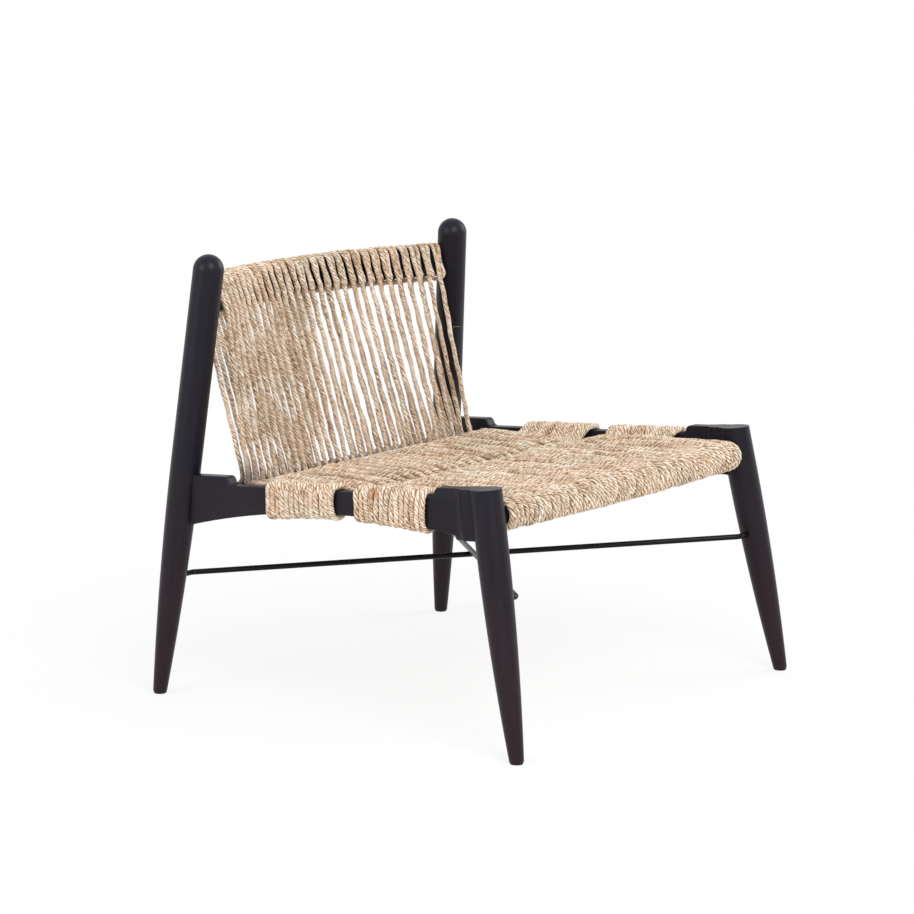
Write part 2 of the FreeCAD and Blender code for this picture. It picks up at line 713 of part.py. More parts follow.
def arc_pair(start, start_way, end, end_way):
    """Two arcs that leave one point and reach another along given unit directions."""
    gap = end - start
    ways = start_way + end_way
    spare = 4 - ways.dot(ways)
    reach = (-gap.dot(ways) + math.sqrt(gap.dot(ways) ** 2 + spare * gap.dot(gap))) / spare
    first = start + start_way * reach
    last = end - end_way * reach
    middle = (first + last) * 0.5
    return [corner_arc(start, first, middle), corner_arc(middle, last, end)]


def straight(start, end):
    """A straight run of cord."""
    return Part.LineSegment(start, end).toShape()


SAMPLE_STEP = 5.0


def least_gap(edges):
    """Least gap of a cord to itself, measured on points along its middle line."""
    points = []
    travelled = 0.0
    for edge in edges:
        count = max(2, int(edge.Length / SAMPLE_STEP))
        for point in edge.discretize(count)[:-1]:
            points.append((point.x, point.y, point.z, travelled))
            travelled += edge.Length / (count - 1)
    nearest = 1e9
    apart = 4 * math.pi * CORD_R
    for i, (ax, ay, az, a_at) in enumerate(points):
        for bx, by, bz, b_at in points[i + 1:]:
            if b_at - a_at > apart:
                nearest = min(nearest, (ax - bx) ** 2 + (ay - by) ** 2 + (az - bz) ** 2)
    return math.sqrt(nearest) - 2 * CORD_R


def cord(name, edges):
    """One unbroken round cord along a route."""
    path = Part.Wire(edges)
    way = edges[0].tangentAt(edges[0].FirstParameter)
    start = edges[0].valueAt(edges[0].FirstParameter)
    ring = Part.Wire([Part.Circle(start, way, CORD_R).toShape()])
    item = doc.addObject("Part::Feature", name)
    item.Shape = path.makePipeShell([ring], True, False)
    ideal = math.pi * CORD_R ** 2 * path.Length
    print(f"{name}: length {path.Length:.0f} mm, least gap to itself {least_gap(edges):.2f} mm")
    print(f"{name}: volume to section x length {item.Shape.Volume / ideal:.4f}")
    return item


def back_route():
    """Runs of the back's cord, round the top rail and the rear seat rail, turn after turn."""
    turns = int(dim("back_turns"))
    wrap_top = dim("top_rail_thickness") / 2 + dim("back_wrap_gap") + CORD_R
    wrap_foot = dim("rear_rail_radius") + dim("back_wrap_gap") + CORD_R
    crown = dim("top_rail_height") / 2 - dim("top_rail_thickness") / 2
    tilt = math.radians(dim("top_rail_tilt"))
    to_crown = Vector(0, crown * math.sin(tilt), crown * math.cos(tilt))
    runs = []
    for half_turn in range(2 * turns):
        share = -1 + (half_turn + 0.5) / turns
        top_x = share * dim("back_top_half_width")
        foot_x = share * dim("back_foot_half_width")
        top = Vector(top_x, bow_y(top_x), TOP_RAIL_Z) + to_crown
        foot = Vector(foot_x, REAR_RAIL.y, REAR_RAIL.z)
        upward = top - foot
        lean = math.atan2(upward.y, upward.z)
        rearward = Vector(0, math.cos(lean), -math.sin(lean))
        face = -1 if half_turn % 2 == 0 else 1
        ends = [foot + rearward * (face * wrap_foot), top + rearward * (face * wrap_top)]
        runs.append(ends if face < 0 else ends[::-1])
    return runs


def winding(runs):
    """Straight runs joined end to end by half turns."""
    edges = []
    ways = [(end - start).normalize() for start, end in runs]
    for number, (start, end) in enumerate(runs):
        edges.append(straight(start, end))
        if number + 1 < len(runs):
            edges += arc_pair(end, ways[number], runs[number + 1][0], ways[number + 1])
    return edges


# three lengths of cord, each wound without a break, share the width of the back
BACK_LENGTHS = ("left", "middle", "right")
back_runs = back_route()
for number, word in enumerate(BACK_LENGTHS):
    first, last = (2 * round(dim("back_turns") * edge / len(BACK_LENGTHS)) for edge in (number, number + 1))
    keep(cord(f"back_cord_{word}", winding(back_runs[first:last])), f"back_cord_{word}")


def band_route(start_along):
    """One side-to-side band: it sags between the side rails, wraps them and turns back round nails."""
    bend = dim("band_corner_radius")
    offset = CORD_R + CORD_GAP
    outer = RAIL_X + RAIL_HALF + offset
    inner = RAIL_X - RAIL_HALF - offset
    shoulder = RAIL_X - RAIL_HALF - dim("band_shoulder")
    foot = shoulder - dim("band_drop_run")
    stops = []
    for number in range(BAND_PASSES):
        along = start_along + number * BAND_PITCH
        high = rail_point(along, LOWERED).z + offset / math.cos(PITCH)
        low = rail_point(along, rail_underside(along)).z - offset / math.cos(PITCH)
        y = rail_point(along, LOWERED).y
        hook = rail_point(along, hook_height(along)).z
        sunk = high - dim("band_drop")
        right = ((foot, sunk), (shoulder, high), (outer, high), (outer, low), (inner, low), (inner, hook))
        left = [(-x, z) for x, z in reversed(right)]
        corners = [Vector(x, y, z) for x, z in left + list(right)]
        stops.append(corners if number % 2 == 0 else corners[::-1])
    edges = []
    for number, corners in enumerate(stops):
        here = corners[0]
        for corner, after in zip(corners[1:], corners[2:]):
            came = (corner - here).normalize()
            goes = (after - corner).normalize()
            trim = bend * math.tan(came.getAngle(goes) / 2)
            edges.append(straight(here, corner - came * trim))
            edges.append(corner_arc(corner - came * trim, corner, corner + goes * trim))
            here = corner + goes * trim
        edges.append(straight(here, corners[-1]))
        if number + 1 < len(stops):
            edges += arc_pair(corners[-1], Vector(0, 0, 1), stops[number + 1][0], Vector(0, 0, -1))
    return edges


for band, start in BAND_STARTS:
    keep(cord(f"seat_band_{band}", band_route(start)), f"seat_band_{band}")


# Front-to-back cords of the seat, laid side by side as one thick web

def in_side_view(point):
    """A point moved to the middle plane of the chair."""
    return Vector(0, point.y, point.z)


def rounded_run(points, radius):
    """Straight runs with every inner corner rounded."""
    edges = []
    here = points[0]
    for corner, after in zip(points[1:], points[2:]):
        came = (corner - here).normalize()
        goes = (after - corner).normalize()
        trim = radius * math.tan(came.getAngle(goes) / 2)
        edges.append(straight(here, corner - came * trim))
        edges.append(corner_arc(corner - came * trim, corner, corner + goes * trim))
        here = corner + goes * trim
    edges.append(straight(here, points[-1]))
    return edges


HOOK_START = math.radians(-30)


def seat_web():
    """Web over both bands, from the rear seat rail to a full wrap round the front rail."""
    wrap = dim("front_rail_radius") + CORD_GAP
    over = LOWERED - dim("band_drop") + 2 * CORD_R + 2 * CORD_GAP
    width = BAND_PASSES * BAND_PITCH
    rear_first = dim("rear_band_start") - BAND_PITCH
    front_first = dim("front_band_start") - BAND_PITCH
    gap_middle = (rear_first + width + front_first) / 2 + BAND_PITCH / 2
    back_cord_front = dim("rear_rail_setback") + dim("rear_rail_radius") + dim("back_wrap_gap") + 2 * CORD_R
    rear_end = back_cord_front + dim("web_rear_gap")
    stations = [
        (front_first + width + BAND_PITCH, over),
        (front_first, over),
        (gap_middle, over - dim("web_dip")),
        (rear_first + width + BAND_PITCH, over),
        (rear_end, over),
    ]
    tops = [in_side_view(rail_point(*station)) for station in stations]
    centre = in_side_view(FRONT_RAIL)
    toward = tops[0] - centre
    bearing = math.atan2(toward.z, toward.y)
    leave = bearing + math.acos(wrap / toward.Length) - 2 * math.pi

    def on_wrap(angle):
        return centre + Vector(0, math.cos(angle), math.sin(angle)) * wrap

    middle = (HOOK_START + leave) / 2
    edges = []
    for start, end in ((HOOK_START, middle), (middle, leave)):
        edges.append(Part.Arc(on_wrap(start), on_wrap((start + end) / 2), on_wrap(end)).toShape())
    edges += rounded_run([on_wrap(leave)] + tops, dim("web_corner_radius"))
    underside = Part.Wire(edges)
    face = underside.makeOffset2D(2 * CORD_R, 0, True, True)
    if face.BoundBox.ZMax < underside.BoundBox.ZMax + CORD_R:
        face = underside.makeOffset2D(-2 * CORD_R, 0, True, True)
    half_width = dim("leg_top_x") - dim("leg_radius") - dim("web_side_gap")
    item = doc.addObject("Part::Feature", "seat_web")
    item.Shape = face.extrude(Vector(2 * half_width, 0, 0))
    item.Placement = FreeCAD.Placement(Vector(-half_width, 0, 0), FreeCAD.Rotation())
    return item


keep(seat_web(), "seat_web")

# Check every object, then write the pieces
doc.recompute()
for item in doc.Objects:
    if "Invalid" in item.State or "Error" in item.State:
        raise RuntimeError(f"{item.Name} failed: {item.State}")
for item in NODES:
    if item.Shape.isNull() or not item.Shape.isValid():
        raise RuntimeError(f"{item.Label} has no valid shape")
os.makedirs("parts", exist_ok=True)
for item in NODES:
    box = item.Shape.BoundBox
    spans = f"x {box.XMin:.1f} {box.XMax:.1f} y {box.YMin:.1f} {box.YMax:.1f} z {box.ZMin:.1f} {box.ZMax:.1f}"
    print(f"{item.Label}: {len(item.Shape.Solids)} solids, {spans}")
    item.Shape.exportStep(f"parts/{item.Label}.step")
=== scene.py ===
# %% [markdown]
# A low lounge chair: dark turned posts and legs, shaped side rails, and a back and seat of
# straw-coloured rope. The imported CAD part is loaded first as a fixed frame, in metres.
# Everything below is either a finish for one of its pieces or a rope that stands for one.

# %% Load the frame
import math
import random

import bmesh
import bpy
import numpy as np
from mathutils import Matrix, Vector


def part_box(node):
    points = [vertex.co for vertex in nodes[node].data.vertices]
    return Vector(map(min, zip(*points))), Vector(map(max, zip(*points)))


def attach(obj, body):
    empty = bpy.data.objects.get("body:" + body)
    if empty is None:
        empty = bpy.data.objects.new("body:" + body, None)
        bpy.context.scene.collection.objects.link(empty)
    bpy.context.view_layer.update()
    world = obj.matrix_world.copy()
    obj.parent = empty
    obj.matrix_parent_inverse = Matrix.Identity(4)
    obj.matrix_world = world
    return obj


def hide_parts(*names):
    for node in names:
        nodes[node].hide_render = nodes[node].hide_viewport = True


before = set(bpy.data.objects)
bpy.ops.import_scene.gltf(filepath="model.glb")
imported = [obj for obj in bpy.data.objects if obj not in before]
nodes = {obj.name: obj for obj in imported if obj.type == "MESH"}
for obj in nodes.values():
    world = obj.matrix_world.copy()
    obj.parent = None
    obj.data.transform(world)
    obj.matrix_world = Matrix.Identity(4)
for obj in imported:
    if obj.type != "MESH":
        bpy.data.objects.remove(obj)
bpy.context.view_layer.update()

print("CAD pieces:", len(nodes))

# %% [markdown]
# The camera stands low and a little to the chair's left front, far away behind a long lens,
# so the chair shows little perspective. A lens in pixels times the sensor width over the
# image width gives Blender's lens in millimetres.

# %% Camera
IMAGE_WIDTH = 914
LENS_PIXELS = 3477
SENSOR_WIDTH = 36.0
FARTHEST_SEEN = 60.0
CAMERA_PLACE = Vector((-4.1454, -3.1447, 1.3045))
CAMERA_TARGET = Vector((0.0004, 0.0184, 0.3455))


def in_scene(name, data):
    """A new object, put into the scene."""
    thing = bpy.data.objects.new(name, data)
    bpy.context.scene.collection.objects.link(thing)
    return thing


def aim(thing, place, target):
    """Put a camera or a lamp at a place and point it at a target."""
    thing.location = place
    thing.rotation_euler = (target - place).to_track_quat("-Z", "Y").to_euler()


camera_data = bpy.data.cameras.new("studio_camera")
camera_data.sensor_fit = "HORIZONTAL"
camera_data.sensor_width = SENSOR_WIDTH
camera_data.lens = LENS_PIXELS / IMAGE_WIDTH * SENSOR_WIDTH
camera_data.clip_end = FARTHEST_SEEN
camera = in_scene("studio_camera", camera_data)
aim(camera, CAMERA_PLACE, CAMERA_TARGET)
bpy.context.scene.camera = camera
away = (CAMERA_TARGET - CAMERA_PLACE).length
print(f"lens {camera_data.lens:.1f} mm, {away:.2f} m away")

# %% [markdown]
# The studio is a white sweep under soft lamps. What the camera, a gloss or a clear
# surface sees of it is white at a strength of 1. Near the chair a small share of plain
# diffuse white stays in the floor, and that share keeps the chair's faint shadow.

# %% Helpers for node trees
def add_node(tree, kind, **values):
    """A node with some of its input sockets set by name."""
    node = tree.nodes.new(kind)
    for name, value in values.items():
        node.inputs[name.replace("_", " ")].default_value = value
    return node


def feed(tree, socket, value):
    """Link a socket to another one, or set it to a number or a colour."""
    if isinstance(value, bpy.types.NodeSocket):
        tree.links.new(value, socket)
    elif isinstance(value, float):
        socket.default_value = value
    else:
        socket.default_value = (*value, 1.0)


def maths(tree, operation, first, second):
    """A Math node between two sockets or numbers."""
    node = tree.nodes.new("ShaderNodeMath")
    node.operation = operation
    feed(tree, node.inputs[0], first)
    feed(tree, node.inputs[1], second)
    return node.outputs[0]


def ranged(tree, value, low, high, to_low, to_high):
    """A value moved from one range to another and kept inside it."""
    node = add_node(tree, "ShaderNodeMapRange", From_Min=low, From_Max=high)
    node.inputs["To Min"].default_value = to_low
    node.inputs["To Max"].default_value = to_high
    tree.links.new(value, node.inputs["Value"])
    return node.outputs["Result"]


# %% World
WHITE = (1.0, 1.0, 1.0, 1.0)
WORLD_LIGHT = 0.66


def seen_directly(tree):
    """One for what the camera, a gloss or a clear surface sees, and none for diffuse light."""
    path = tree.nodes.new("ShaderNodeLightPath")
    gloss = maths(tree, "MAXIMUM", path.outputs["Is Camera Ray"], path.outputs["Is Glossy Ray"])
    return maths(tree, "MAXIMUM", gloss, path.outputs["Is Transmission Ray"])


world = bpy.data.worlds.new("white_studio")
bpy.context.scene.world = world
world.use_nodes = True
world_tree = world.node_tree
backdrop = world_tree.nodes["Background"]
backdrop.inputs["Color"].default_value = WHITE
level = ranged(world_tree, seen_directly(world_tree), 0.0, 1.0, WORLD_LIGHT, 1.0)
world_tree.links.new(level, backdrop.inputs["Strength"])
print("world light", WORLD_LIGHT)

# %% Floor
FLOOR_HALF = 9.0
floor_mesh = bpy.data.meshes.new("floor")
shape = bmesh.new()
bmesh.ops.create_grid(shape, x_segments=1, y_segments=1, size=FLOOR_HALF)
shape.to_mesh(floor_mesh)
shape.free()
floor = in_scene("floor", floor_mesh)
print("floor", 2 * FLOOR_HALF, "m wide")

# %% Floor paint
FLOOR_WHITE = (0.92, 0.92, 0.92, 1.0)
SHADOW_SHARE = 0.20
SHADOW_INNER = 0.45
SHADOW_OUTER = 1.15


def new_tree(name):
    """A material with its node tree and its main shader."""
    material = bpy.data.materials.new(name)
    material.use_nodes = True
    tree = material.node_tree
    return material, tree, tree.nodes["Principled BSDF"]


def own_place(tree):
    """The place of a point in its piece's own frame."""
    return tree.nodes.new("ShaderNodeTexCoord").outputs["Object"]


floor_paint, tree, shader = new_tree("floor_paint")
shader.inputs["Base Color"].default_value = FLOOR_WHITE
shader.inputs["Roughness"].default_value = 1.0
shader.inputs["Specular IOR Level"].default_value = 0.0
glow = add_node(tree, "ShaderNodeEmission", Color=WHITE, Strength=1.0)
from_chair = tree.nodes.new("ShaderNodeVectorMath")
from_chair.operation = "LENGTH"
tree.links.new(own_place(tree), from_chair.inputs[0])
reach = from_chair.outputs["Value"]
fade = ranged(tree, reach, SHADOW_INNER, SHADOW_OUTER, 1.0 - SHADOW_SHARE, 1.0)
pick = tree.nodes.new("ShaderNodeMixShader")
tree.links.new(maths(tree, "MULTIPLY", seen_directly(tree), fade), pick.inputs["Fac"])
tree.links.new(shader.outputs[0], pick.inputs[1])
tree.links.new(glow.outputs[0], pick.inputs[2])
tree.links.new(pick.outputs[0], tree.nodes["Material Output"].inputs["Surface"])
floor_mesh.materials.append(floor_paint)
print("floor keeps", SHADOW_SHARE, "of the shadow")

# %% Lamps
SEAT_MIDDLE = Vector((0.0, 0.0, 0.35))
# each lamp: name, place, side in metres, watts
LAMPS = (
    ("key_lamp", (-1.6, -2.6, 2.7), 1.8, 72.0),
    ("side_lamp", (-3.0, 1.0, 1.7), 1.6, 30.0),
    ("far_lamp", (2.8, -1.2, 1.8), 1.6, 34.0),
)
for name, place, side, watts in LAMPS:
    data = bpy.data.lights.new(name, "AREA")
    data.size = side
    data.energy = watts
    aim(in_scene(name, data), Vector(place), SEAT_MIDDLE)
bpy.context.scene.view_settings.view_transform = "Standard"
print("lamps:", len(LAMPS))

# %% [markdown]
# The frame is a close-grained wood, stained almost black and rubbed to a satin. Stain
# leaves the grain as faint streaks along each piece, a little redder low on the legs where
# it is thin, so one recipe is turned to run along each piece's own length.

# %% Helpers for finishes
MIX_FACTOR = 0
MIX_FIRST = 6
MIX_SECOND = 7
MIX_COLOUR = 2


def stretched(tree, vector, scale, shift=(0.0, 0.0, 0.0)):
    """A texture vector, stretched and shifted."""
    mapping = add_node(tree, "ShaderNodeMapping", Scale=scale, Location=shift)
    tree.links.new(vector, mapping.inputs["Vector"])
    return mapping.outputs[0]


def noise_on(tree, vector, scale, detail, rough=0.5):
    """Noise over a texture vector."""
    node = add_node(tree, "ShaderNodeTexNoise", Scale=scale, Detail=detail, Roughness=rough)
    tree.links.new(vector, node.inputs["Vector"])
    return node.outputs["Fac"]


def ramp(tree, factor, stops):
    """A colour ramp; stops are (position, colour) pairs."""
    node = tree.nodes.new("ShaderNodeValToRGB")
    while len(node.color_ramp.elements) < len(stops):
        node.color_ramp.elements.new(0.5)
    for element, (position, colour) in zip(node.color_ramp.elements, stops):
        element.position = position
        element.color = (*colour, 1.0)
    tree.links.new(factor, node.inputs["Fac"])
    return node.outputs["Color"]


def blend_colour(tree, factor, first, second, mode="MIX"):
    """Two colours mixed by a factor."""
    node = tree.nodes.new("ShaderNodeMix")
    node.data_type = "RGBA"
    node.blend_type = mode
    feed(tree, node.inputs[MIX_FACTOR], factor)
    feed(tree, node.inputs[MIX_FIRST], first)
    feed(tree, node.inputs[MIX_SECOND], second)
    return node.outputs[MIX_COLOUR]


def relief(tree, shader, height, strength, distance):
    """A fine bump in a finish."""
    bump = add_node(tree, "ShaderNodeBump", Strength=strength, Distance=distance)
    tree.links.new(height, bump.inputs["Height"])
    tree.links.new(bump.outputs["Normal"], shader.inputs["Normal"])


def finish(pieces, material):
    """Put one material on whole CAD pieces."""
    for piece in pieces:
        for slot in nodes[piece].material_slots:
            slot.material = material


# %% Stained wood
STAIN_DEEP = (0.0052, 0.0043, 0.0092)
STAIN_THIN = (0.0105, 0.0082, 0.0145)
STAIN_RED = (0.0260, 0.0090, 0.0110)
STAIN_STOPS = ((0.14, STAIN_DEEP), (0.42, STAIN_THIN))
STAIN_SHINE = 0.21
GRAIN_ACROSS = 95.0
GRAIN_ALONG = 5.0
GRAIN_DETAIL = 5.0
GRAIN_ROUGH = 0.62
GRAIN_BUMP = 0.10
GRAIN_DEPTH = 0.0006
CLOUD_SCALE = 9.0
CLOUD_DETAIL = 3.0
# red shows from the first height down to the second, up to the last share
RED_RANGE = (0.36, 0.10, 0.0, 0.90)
SATIN_RANGE = (0.0, 1.0, 0.30, 0.46)


def stained_wood(name, axis):
    """Near-black stained wood whose grain runs along X, Y or Z."""
    material, tree, shader = new_tree(name)
    place = own_place(tree)
    stretch = [GRAIN_ACROSS] * 3
    stretch["XYZ".index(axis)] = GRAIN_ALONG
    streaks = noise_on(tree, stretched(tree, place, stretch), 1.0, GRAIN_DETAIL, GRAIN_ROUGH)
    clouds = noise_on(tree, place, CLOUD_SCALE, CLOUD_DETAIL)
    black = ramp(tree, maths(tree, "MULTIPLY", streaks, clouds), STAIN_STOPS)
    split = tree.nodes.new("ShaderNodeSeparateXYZ")
    tree.links.new(place, split.inputs[0])
    low = ranged(tree, split.outputs["Z"], *RED_RANGE)
    worn = maths(tree, "MULTIPLY", low, streaks)
    tree.links.new(blend_colour(tree, worn, black, STAIN_RED), shader.inputs["Base Color"])
    tree.links.new(ranged(tree, streaks, *SATIN_RANGE), shader.inputs["Roughness"])
    shader.inputs["Specular IOR Level"].default_value = STAIN_SHINE
    relief(tree, shader, streaks, GRAIN_BUMP, GRAIN_DEPTH)
    return material


WOOD_RUNS = {
    "Z": ("rear_post_left", "rear_post_right", "front_leg_left", "front_leg_right"),
    "Y": ("side_rail_left", "side_rail_right"),
    "X": ("top_rail", "front_rail", "rear_seat_rail"),
}
for axis, pieces in WOOD_RUNS.items():
    finish(pieces, stained_wood(f"stained_wood_along_{axis}", axis))
print("stained pieces:", sum(len(pieces) for pieces in WOOD_RUNS.values()))

# %% [markdown]
# The brace rods are steel under a thin satin black paint, slightly uneven to the touch.
# The dowels are bare beech inside the joints, and the nails are plain bright wire.

# %% Rod paint, dowel wood and nail wire
EVEN = (1.0, 1.0, 1.0)
DOWEL_GRAIN = (6.0, 1.0, 6.0)
FLECK_DARK = 0.3
FLECK_PALE = 0.7
FLECK_DETAIL = 4.0
FLECK_BUMP = 0.08
FLECK_DEPTH = 0.0003


def flecked(name, dark, pale, scale, rough, stretch=EVEN, metallic=0.0, shine=0.5):
    """A finish that drifts between two colours, with a fine bump."""
    material, tree, shader = new_tree(name)
    flecks = noise_on(tree, stretched(tree, own_place(tree), stretch), scale, FLECK_DETAIL)
    colour = ramp(tree, flecks, ((FLECK_DARK, dark), (FLECK_PALE, pale)))
    tree.links.new(colour, shader.inputs["Base Color"])
    shader.inputs["Roughness"].default_value = rough
    shader.inputs["Metallic"].default_value = metallic
    shader.inputs["Specular IOR Level"].default_value = shine
    relief(tree, shader, flecks, FLECK_BUMP, FLECK_DEPTH)
    return material


ROD_DARK = (0.002, 0.002, 0.003)
ROD_PALE = (0.005, 0.005, 0.006)
rod_paint = flecked("rod_paint", ROD_DARK, ROD_PALE, 320.0, 0.26, shine=0.16)
BEECH_DARK = (0.42, 0.28, 0.15)
BEECH_PALE = (0.62, 0.46, 0.29)
dowel_wood = flecked("dowel_wood", BEECH_DARK, BEECH_PALE, 40.0, 0.6, DOWEL_GRAIN)
WIRE_DARK = (0.36, 0.36, 0.37)
WIRE_PALE = (0.55, 0.55, 0.56)
nail_wire = flecked("nail_wire", WIRE_DARK, WIRE_PALE, 500.0, 0.35, metallic=1.0)
finish(("brace_rod_lower", "brace_rod_upper"), rod_paint)
finish(("rear_joint_dowels", "front_joint_dowels", "top_rail_dowels"), dowel_wood)
finish(("cord_nails_left", "cord_nails_right"), nail_wire)
print("rods, dowels and nails finished")

# %% [markdown]
# The rope is hand-laid from four yarns of a dried plant fibre. Its finish follows the rope's
# own UV map, where U runs along the rope in metres and V goes once round it: the colour
# drifts along the rope, each yarn is pale and dark by turns, fine fibres run along the yarns,
# a painted highlight lies on each yarn's crest and painted shade lies in the grooves between
# them. A few small places are stained.

# %% Rope colours
STRAW_DARK = (0.200, 0.120, 0.064)
STRAW_MID = (0.570, 0.420, 0.285)
STRAW_LIGHT = (0.830, 0.680, 0.535)
# the pale end is the rope's own paler fibre and also the painted highlight on the yarns' crests
STRAW_PALE_AND_HIGHLIGHT = (0.985, 0.930, 0.850)
STRAW_STOPS = ((0.27, STRAW_DARK), (0.40, STRAW_MID), (0.54, STRAW_LIGHT), (0.67, STRAW_PALE_AND_HIGHLIGHT))
WARM = (1.000, 0.935, 0.885)
COOL = (0.965, 0.975, 0.965)
TINT_STOPS = ((0.36, COOL), (0.60, WARM))
RUST = (0.500, 0.255, 0.120)
SPECK = (0.140, 0.075, 0.035)
# painted shade: the dark colour put into the grooves between the yarns
GROOVE_SHADE = (0.095, 0.052, 0.024)
GREY_STAIN = (0.130, 0.110, 0.105)
ORANGE_STAIN = (0.600, 0.380, 0.130)
# each stain: place, radius, colour
STAINS = (
    ((-0.284, 0.196, 0.326), 0.050, GREY_STAIN),
    ((0.276, 0.268, 0.628), 0.016, ORANGE_STAIN),
    ((-0.335, -0.091, 0.352), 0.014, RUST),
)
STAIN_CORE = 0.3
STAIN_STRENGTH = 0.8


def stained(tree, colour, centre, radius, stain):
    """A colour with a soft stain around one place."""
    reach = tree.nodes.new("ShaderNodeVectorMath")
    reach.operation = "DISTANCE"
    reach.inputs[1].default_value = centre
    tree.links.new(own_place(tree), reach.inputs[0])
    soft = ranged(tree, reach.outputs["Value"], radius, STAIN_CORE * radius, 0.0, STAIN_STRENGTH)
    return blend_colour(tree, soft, colour, stain)


print("stains:", len(STAINS))

# %% Rope tone
YARNS = 4
# each noise: scale along the rope, scale round it, shift, detail
DRIFT = (6.0, 0.0, 0.0, 3.0)
YARN_TONE = (110.0, 4.2, 3.0, 3.0)
FIBRES = (230.0, 34.0, 7.0, 3.0)
RUST_PATCHES = (9.0, 1.4, 13.0, 2.0)
SPECKS = (140.0, 9.0, 23.0, 2.0)
SOFT_NOISE = 0.55
CRISP_NOISE = 0.75
BLOTCH_SCALE = 210.0
BLOTCH_DETAIL = 2.0
# painted highlight: the tone rises from a yarn's groove to its crest
CREST_HIGHLIGHT_RANGE = (0.05, 0.42, 0.0, 0.17)
BASE_TONE = 0.380


def along_rope(tree, along, around, shift=0.0):
    """The rope's UV, stretched along and around, as a texture vector."""
    uv = tree.nodes.new("ShaderNodeUVMap")
    uv.uv_map = "UVMap"
    return stretched(tree, uv.outputs[0], (along, around, 1.0), (shift, 0.0, shift))


def rope_noise(tree, along, around, shift, detail, rough=SOFT_NOISE):
    """Noise that follows the rope."""
    return noise_on(tree, along_rope(tree, along, around, shift), 1.0, detail, rough)


def noise_in_space(tree, scale):
    """Noise through the chair's own space, the same for ropes that touch."""
    return noise_on(tree, own_place(tree), scale, BLOTCH_DETAIL)


def rope_tone(tree, across, fibres):
    """How pale the rope is: a painted highlight on each yarn's crest, and uneven in four ways."""
    # painted highlight, paler towards each yarn's crest
    tone = ranged(tree, across, *CREST_HIGHLIGHT_RANGE)
    uneven = (
        (rope_noise(tree, *DRIFT), 0.70),
        (rope_noise(tree, *YARN_TONE), 0.70),
        (fibres, 0.80),
        (noise_in_space(tree, BLOTCH_SCALE), 0.45),
    )
    for part, weight in uneven:
        centred = maths(tree, "SUBTRACT", part, 0.5)
        tone = maths(tree, "ADD", tone, maths(tree, "MULTIPLY", centred, weight))
    return maths(tree, "ADD", tone, BASE_TONE)


print("yarns in the rope:", YARNS)

# %% Rope finish
TINT_SCALE = 14.0
RUST_RANGE = (0.60, 0.76, 0.0, 0.70)
SPECK_RANGE = (0.60, 0.70, 0.0, 0.85)
# painted shade, strongest in the grooves between the yarns and gone on their crests
GROOVE_SHADE_RANGE = (0.0, 0.13, 0.92, 0.0)
MATT_RANGE = (0.3, 0.7, 0.92, 0.72)
ROPE_SHINE = 0.22
FIBRE_BUMP = 0.65
FIBRE_DEPTH = 0.0008


def rope_finish(name):
    """Twisted straw-coloured plant fibre."""
    material, tree, shader = new_tree(name)
    fibres = rope_noise(tree, *FIBRES, CRISP_NOISE)
    split = tree.nodes.new("ShaderNodeSeparateXYZ")
    tree.links.new(along_rope(tree, 1.0, float(YARNS)), split.inputs[0])
    across = maths(tree, "PINGPONG", split.outputs["Y"], 0.5)
    straw = ramp(tree, rope_tone(tree, across, fibres), STRAW_STOPS)
    tint = ramp(tree, noise_in_space(tree, TINT_SCALE), TINT_STOPS)
    colour = blend_colour(tree, 1.0, straw, tint, "MULTIPLY")
    rusty = ranged(tree, rope_noise(tree, *RUST_PATCHES), *RUST_RANGE)
    colour = blend_colour(tree, rusty, colour, RUST)
    specked = ranged(tree, rope_noise(tree, *SPECKS), *SPECK_RANGE)
    colour = blend_colour(tree, specked, colour, SPECK)
    # painted shade in the grooves between the yarns, where shadow would fall
    colour = blend_colour(tree, ranged(tree, across, *GROOVE_SHADE_RANGE), colour, GROOVE_SHADE)
    for centre, radius, stain in STAINS:
        colour = stained(tree, colour, centre, radius, stain)
    tree.links.new(colour, shader.inputs["Base Color"])
    tree.links.new(ranged(tree, fibres, *MATT_RANGE), shader.inputs["Roughness"])
    shader.inputs["Specular IOR Level"].default_value = ROPE_SHINE
    relief(tree, shader, fibres, FIBRE_BUMP, FIBRE_DEPTH)
    return material


straw_rope = rope_finish("straw_rope")
print("rope finish with", len(straw_rope.node_tree.nodes), "nodes")

# %% [markdown]
# A rope could be a tube with a painted twist, but then its edge against the light would be
# smooth. Here a four-lobed outline is swept along the rope's path and turned as it goes,
# so the yarns are real. The path itself is a NURBS spline guided by a few chosen points,
# and the sweep follows points read from that spline at even steps.

# %% Rope section
MM = 0.001
ROPE_RADIUS = 4.8 * MM
# one yarn's lobe: degrees from its crest, share of the radius
LOBE = ((-45.0, 0.74), (-26.0, 0.92), (0.0, 1.0), (26.0, 0.92))

section_data = bpy.data.curves.new("rope_section", "CURVE")
section_data.dimensions = "2D"
outline = section_data.splines.new("POLY")
outline.points.add(YARNS * len(LOBE) - 1)
for index, point in enumerate(outline.points):
    yarn, step = divmod(index, len(LOBE))
    degrees, share = LOBE[step]
    angle = math.tau * yarn / YARNS + math.radians(degrees)
    reach = ROPE_RADIUS * share
    point.co = (reach * math.cos(angle), reach * math.sin(angle), 0.0, 1.0)
outline.use_cyclic_u = True
rope_section = in_scene("rope_section", section_data)
print("rope outline of", len(outline.points), "points")

# %% Rope paths
ROUTE_STEPS = 10
ROUTE_ORDER = 3
ROPE_STEP = 2.0 * MM
WANDER = 0.4 * MM
WANDER_WAVES = (47 * MM, 116 * MM)
SEED = 11
dice = random.Random(SEED)


def stray(amount):
    """A distance either way, up to an amount in millimetres."""
    return dice.uniform(-amount, amount) * MM


